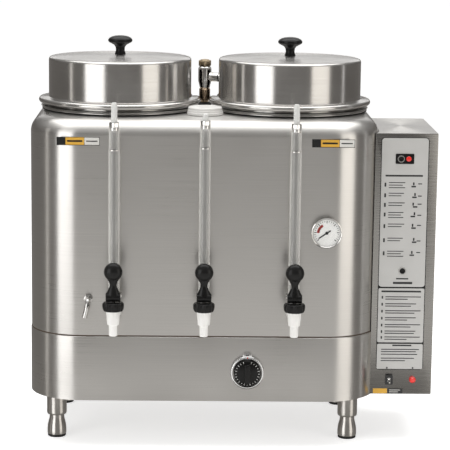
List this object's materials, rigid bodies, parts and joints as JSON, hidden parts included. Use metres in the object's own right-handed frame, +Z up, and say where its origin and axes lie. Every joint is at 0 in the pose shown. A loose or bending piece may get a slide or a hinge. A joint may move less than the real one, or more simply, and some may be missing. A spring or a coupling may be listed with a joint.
{
  "type": "twin coffee urn",
  "caption": "Countertop twin coffee urn: oblong stainless body on adjustable feet, lidded liners, swivel spray arm, sight-gauge faucets and a side control box.",
  "frame": {"origin": "on the surface the machine stands on, under the middle of its bounding box", "axes": "+Z up, -Y is the front with the faucets, +X is the control box side"},
  "size_m": [0.7944, 0.5302, 0.7895],
  "materials": {
    "stainless_brushed": "brushed",
    "stainless_dull": "dull",
    "chrome": "polished",
    "black_phenolic": "semi-gloss",
    "white_plastic": "satin",
    "clear_tube": "clear",
    "red_lens": "glossy",
    "brass": "dull"
  },
  "bodies": {
    "machine": {"base_frame": "stainless_brushed", "base_skirt": "stainless_brushed", "brew_basket_left": "stainless_dull", "brew_basket_right": "stainless_dull", "brew_switch_plate": "red_lens", "coffee_liner_left": "stainless_dull", "coffee_liner_right": "stainless_dull", "control_case": "stainless_brushed", "control_cover": "stainless_brushed", "faucet_body_center": "white_plastic", "faucet_body_left": "white_plastic", "faucet_body_right": "white_plastic", "faucet_bonnet_center": "black_phenolic", "faucet_bonnet_left": "black_phenolic", "faucet_bonnet_right": "black_phenolic", "faucet_shank_center": "chrome", "faucet_shank_left": "chrome", "faucet_shank_right": "chrome", "gauge_glass_center": "clear_tube", "gauge_glass_left": "clear_tube", "gauge_glass_right": "clear_tube", "gauge_guard_center": "clear_tube", "gauge_guard_left": "clear_tube", "gauge_guard_right": "clear_tube", "gauge_nut_center": "chrome", "gauge_nut_left": "chrome", "gauge_nut_right": "chrome", "heating_element": "brass", "inlet_valve": "brass", "jacket_shell": "stainless_brushed", "outlet_spout": "chrome", "power_lamp": "red_lens", "riser_cap_nut": "chrome", "spray_riser": "chrome", "thermometer_case": "white_plastic", "thermostat_body": "chrome", "toggle_body": "black_phenolic", "top_deck": "stainless_brushed", "water_tank": "stainless_dull"},
    "foot_front_left_body": {"foot_front_left": "stainless_brushed"},
    "foot_front_right_body": {"foot_front_right": "stainless_brushed"},
    "foot_rear_left_body": {"foot_rear_left": "stainless_brushed"},
    "foot_rear_right_body": {"foot_rear_right": "stainless_brushed"},
    "lid_left_body": {"lid_left": "stainless_brushed", "lid_knob_left": "black_phenolic"},
    "lid_right_body": {"lid_right": "stainless_brushed", "lid_knob_right": "black_phenolic"},
    "swivel_arm_body": {"swivel_arm": "chrome"},
    "fill_cap_body": {"fill_cap": "white_plastic"},
    "thermometer_pointer_body": {"thermometer_pointer": "black_phenolic"},
    "thermostat_knob_body": {"thermostat_knob": "black_phenolic"},
    "brew_button_body": {"brew_button": "black_phenolic"},
    "start_button_body": {"start_button": "black_phenolic"},
    "toggle_lever_body": {"toggle_lever": "chrome"},
    "handle_left_body": {"faucet_handle_left": "black_phenolic"},
    "stem_left_body": {"faucet_stem_left": "stainless_dull"},
    "handle_center_body": {"faucet_handle_center": "black_phenolic"},
    "stem_center_body": {"faucet_stem_center": "stainless_dull"},
    "handle_right_body": {"faucet_handle_right": "black_phenolic"},
    "stem_right_body": {"faucet_stem_right": "stainless_dull"}
  },
  "joints": [
    {"name": "foot_front_left_adjust", "type": "slide", "parent": "machine", "child": "foot_front_left_body", "axis": [0, 0, -1], "range_m": [0, 0.02]},
    {"name": "foot_front_right_adjust", "type": "slide", "parent": "machine", "child": "foot_front_right_body", "axis": [0, 0, -1], "range_m": [0, 0.02]},
    {"name": "foot_rear_left_adjust", "type": "slide", "parent": "machine", "child": "foot_rear_left_body", "axis": [0, 0, -1], "range_m": [0, 0.02]},
    {"name": "foot_rear_right_adjust", "type": "slide", "parent": "machine", "child": "foot_rear_right_body", "axis": [0, 0, -1], "range_m": [0, 0.02]},
    {"name": "lid_left_lift", "type": "slide", "parent": "machine", "child": "lid_left_body", "axis": [0, 0, 1], "range_m": [0, 0.12]},
    {"name": "lid_right_lift", "type": "slide", "parent": "machine", "child": "lid_right_body", "axis": [0, 0, 1], "range_m": [0, 0.12]},
    {"name": "spray_arm_swivel", "type": "hinge", "parent": "machine", "child": "swivel_arm_body", "pos_m": [-0.05605, 0.0909, 0.7027], "axis": [0, 0, 1], "range_deg": [-12, 12]},
    {"name": "fill_cap_lift", "type": "slide", "parent": "machine", "child": "fill_cap_body", "axis": [0, 0, 1], "range_m": [0, 0.05]},
    {"name": "faucet_left_pull", "type": "hinge", "parent": "machine", "child": "handle_left_body", "pos_m": [-0.22855, -0.2441, 0.3129], "axis": [1, 0, 0], "range_deg": [0, 35], "stiffness_Nm_per_rad": 0.4},
    {"name": "faucet_left_stem_lift", "type": "slide", "parent": "machine", "child": "stem_left_body", "axis": [0, 0, 1], "range_m": [0, 0.003]},
    {"name": "faucet_center_pull", "type": "hinge", "parent": "machine", "child": "handle_center_body", "pos_m": [-0.05605, -0.2441, 0.3129], "axis": [1, 0, 0], "range_deg": [0, 35], "stiffness_Nm_per_rad": 0.4},
    {"name": "faucet_center_stem_lift", "type": "slide", "parent": "machine", "child": "stem_center_body", "axis": [0, 0, 1], "range_m": [0, 0.003]},
    {"name": "faucet_right_pull", "type": "hinge", "parent": "machine", "child": "handle_right_body", "pos_m": [0.11645, -0.2441, 0.3129], "axis": [1, 0, 0], "range_deg": [0, 35], "stiffness_Nm_per_rad": 0.4},
    {"name": "faucet_right_stem_lift", "type": "slide", "parent": "machine", "child": "stem_right_body", "axis": [0, 0, 1], "range_m": [0, 0.003]},
    {"name": "thermometer_sweep", "type": "hinge", "parent": "machine", "child": "thermometer_pointer_body", "pos_m": [0.17895, -0.1931, 0.431], "axis": [0, 1, 0], "range_deg": [0, 220]},
    {"name": "thermostat_turn", "type": "hinge", "parent": "machine", "child": "thermostat_knob_body", "pos_m": [0.02995, -0.1953, 0.154], "axis": [0, 1, 0], "range_deg": [0, 300]},
    {"name": "brew_button_press", "type": "slide", "parent": "machine", "child": "brew_button_body", "axis": [0, 1, 0], "range_m": [0, 0.002], "stiffness_N_per_m": 200},
    {"name": "start_button_press", "type": "slide", "parent": "machine", "child": "start_button_body", "axis": [0, 1, 0], "range_m": [0, 0.003], "stiffness_N_per_m": 200},
    {"name": "toggle_flip", "type": "hinge", "parent": "machine", "child": "toggle_lever_body", "pos_m": [0.31295, -0.127, 0.1255], "axis": [-1, 0, 0], "range_deg": [0, 30]}
  ],
  "couplings": [
    {"joint": "faucet_left_stem_lift", "follows": "faucet_left_pull", "m_per_rad": 0.0049},
    {"joint": "faucet_center_stem_lift", "follows": "faucet_center_pull", "m_per_rad": 0.0049},
    {"joint": "faucet_right_stem_lift", "follows": "faucet_right_pull", "m_per_rad": 0.0049}
  ]
}
